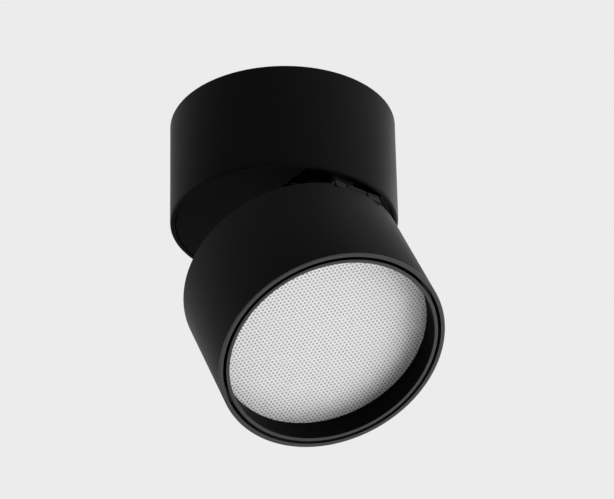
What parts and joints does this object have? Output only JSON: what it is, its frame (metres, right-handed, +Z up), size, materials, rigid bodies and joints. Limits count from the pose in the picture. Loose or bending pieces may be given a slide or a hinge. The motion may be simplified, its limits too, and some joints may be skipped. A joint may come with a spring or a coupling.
{
  "type": "surface mounted ceiling spotlight",
  "caption": "Round surface mounted ceiling spotlight: a drum canopy with a panning, hinged cylindrical lamp head and a recessed prismatic diffuser.",
  "frame": {"origin": "centre of the ceiling face, where the two ceiling screws' line crosses the canopy's centre line", "axes": "+Z up into the ceiling along the canopy's centre line, -Y towards the hinge, X along the hinge pin"},
  "size_m": [0.1, 0.1261, 0.1525],
  "materials": {
    "canopy_coat": "fine matt black powder coat on die-cast aluminium",
    "head_coat": "fine matt black powder coat on die-cast aluminium",
    "trim_coat": "satin black powder coat",
    "baffle_black": "matt black moulded plastic",
    "swivel_coat": "matt black powder coat",
    "hinge_coat": "satin black coated steel",
    "zinc_steel": "zinc plated sheet",
    "pin_steel": "ground steel",
    "black_screw": "black oxide steel",
    "nickel_tube": "nickel plated threaded tube",
    "nylon": "natural nylon",
    "black_nylon": "black nylon",
    "black_rubber": "black rubber",
    "white_case": "white moulded plastic",
    "circuit_board": "green solder mask",
    "terminal_plastic": "off-white polyamide",
    "brass_screw": "plain brass",
    "lead_skin": "red-brown insulated lead",
    "sink_alloy": "black anodised aluminium",
    "pad_grey": "grey thermal pad",
    "board_alloy": "white solder mask on a metal core board",
    "emitter": "yellow phosphor silicone",
    "holder_white": "white moulded plastic",
    "reflector_skin": "white reflective plastic",
    "diffuser_acrylic": "opal acrylic with a prismatic face"
  },
  "bodies": {
    "canopy": {"canopy_housing": "canopy_coat", "mounting_plate": "zinc_steel", "canopy_screws": "black_screw", "driver_case": "white_case", "driver_screws": "zinc_steel", "driver_lid": "white_case", "driver_board": "circuit_board", "terminal_block": "terminal_plastic", "terminal_screws": "brass_screw", "mains_leads": "lead_skin", "driver_lead": "black_rubber", "glide_ring": "nylon"},
    "swivel": {"swivel_disc": "swivel_coat", "stop_pin": "pin_steel", "pivot_tube": "nickel_tube", "pivot_washer": "zinc_steel", "pivot_nut": "zinc_steel", "cable_bush": "black_rubber", "hinge_bracket": "hinge_coat", "bracket_screws": "black_screw", "friction_washers": "black_nylon"},
    "head": {"hinge_leaf": "hinge_coat", "leaf_screws": "black_screw", "hinge_pin": "pin_steel", "head_housing": "head_coat", "heat_sink": "sink_alloy", "sink_screws": "black_screw", "thermal_pad": "pad_grey", "led_board": "board_alloy", "led_emitter": "emitter", "led_holder": "holder_white", "holder_screws": "zinc_steel", "reflector": "reflector_skin", "diffuser_gasket": "black_rubber", "diffuser": "diffuser_acrylic", "baffle_ring": "baffle_black", "trim_ring": "trim_coat", "lead_grommet": "black_rubber", "led_leads": "lead_skin"}
  },
  "joints": [
    {"name": "pan", "type": "hinge", "parent": "canopy", "child": "swivel", "pos_m": [0, 0, -0.05], "axis": [0, 0, 1], "range_deg": [-175, 175]},
    {"name": "tilt", "type": "hinge", "parent": "swivel", "child": "head", "pos_m": [0, -0.048, -0.05703], "axis": [-1, 0, 0], "range_deg": [-28.2, 61.8]}
  ]
}
